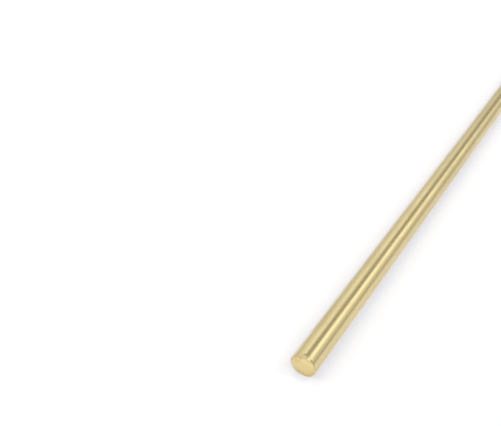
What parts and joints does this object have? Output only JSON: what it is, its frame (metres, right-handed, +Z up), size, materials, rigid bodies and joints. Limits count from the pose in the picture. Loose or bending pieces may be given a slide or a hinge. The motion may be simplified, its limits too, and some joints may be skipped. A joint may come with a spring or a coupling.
{
  "type": "brass rod",
  "caption": "Straight round brass rod, plain drawn stock with shear-cropped ends, for pins, spindles, hinges and turned parts.",
  "frame": {"origin": "centre of the rod, on its axis at half its length", "axes": "+X along the rod, +Z up as it lies on a level floor; the near end in the picture is the -X end"},
  "size_m": [0.3048, 0.0032, 0.0032],
  "materials": {
    "drawn_brass": "satin drawn surface with fine lengthwise draw lines and a light tarnish; sheared ends are matt"
  },
  "bodies": {
    "root": {"rod": "drawn_brass"}
  },
  "joints": []
}
